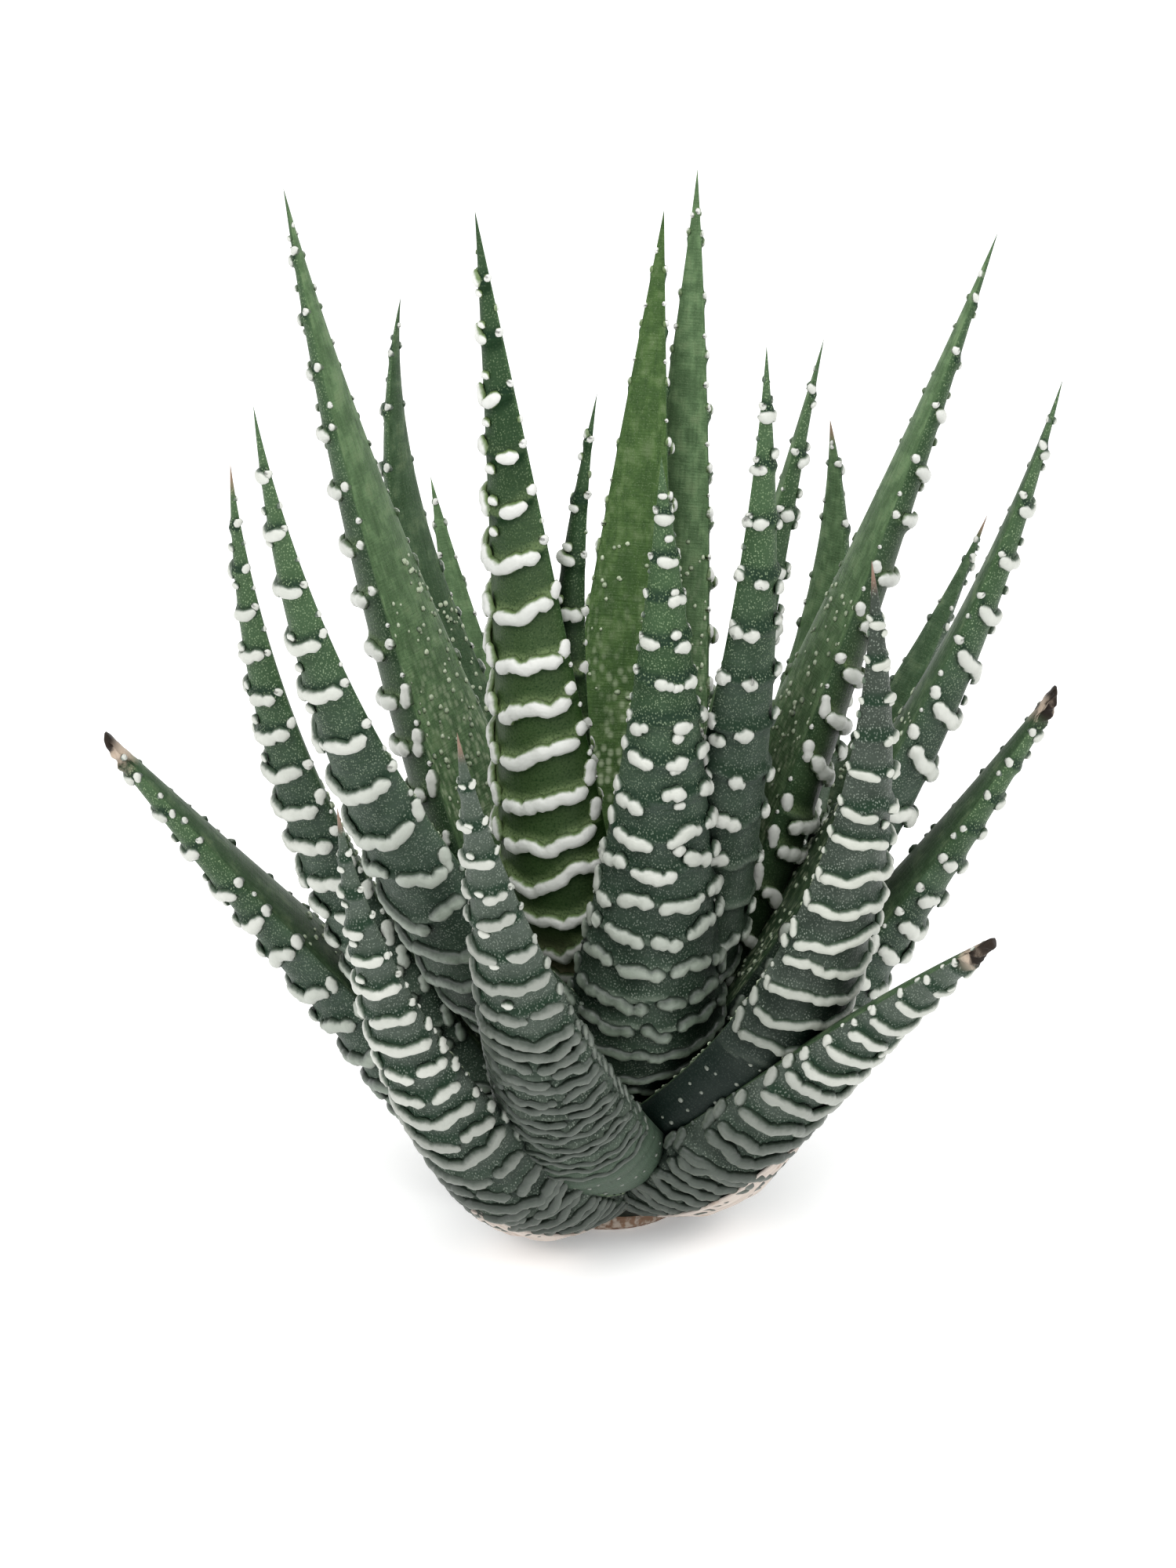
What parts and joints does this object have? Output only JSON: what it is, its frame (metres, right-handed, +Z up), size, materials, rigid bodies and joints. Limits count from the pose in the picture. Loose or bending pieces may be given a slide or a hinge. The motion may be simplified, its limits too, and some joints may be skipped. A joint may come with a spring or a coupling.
{
  "type": "haworthia rosette",
  "caption": "Small succulent rosette of thick, tapering green leaves with raised white cross bands, standing bare-rooted on a short trimmed stem.",
  "frame": {"origin": "centre of the stem's flat trimmed foot, on the surface that the plant stands on", "axes": "+Z up along the stem; -Y towards the side that the picture shows; +X to the right in the picture"},
  "size_m": [0.1003, 0.0942, 0.1159],
  "materials": {
    "leaf": "fresh waxy succulent leaf, dark green with white raised bands",
    "stem": "dry corky bark",
    "dry_sheath": "dry papery leaf remains"
  },
  "bodies": {
    "root": {"stem": "stem", "leaf_01": "leaf", "leaf_02": "leaf", "leaf_03": "leaf", "leaf_04": "leaf", "leaf_05": "leaf", "leaf_06": "leaf", "leaf_07": "leaf", "leaf_08": "leaf", "leaf_09": "leaf", "leaf_10": "leaf", "leaf_11": "leaf", "leaf_12": "leaf", "leaf_13": "leaf", "leaf_14": "leaf", "leaf_15": "leaf", "leaf_16": "leaf", "leaf_17": "leaf", "leaf_18": "leaf", "leaf_19": "leaf", "leaf_20": "leaf", "leaf_21": "leaf", "leaf_22": "leaf", "leaf_23": "leaf", "leaf_24": "leaf", "leaf_25": "leaf", "leaf_26": "leaf", "leaf_27": "leaf", "leaf_28": "leaf", "dry_sheath_right": "dry_sheath", "dry_sheath_left": "dry_sheath", "dry_sheath_back": "dry_sheath"}
  },
  "joints": []
}
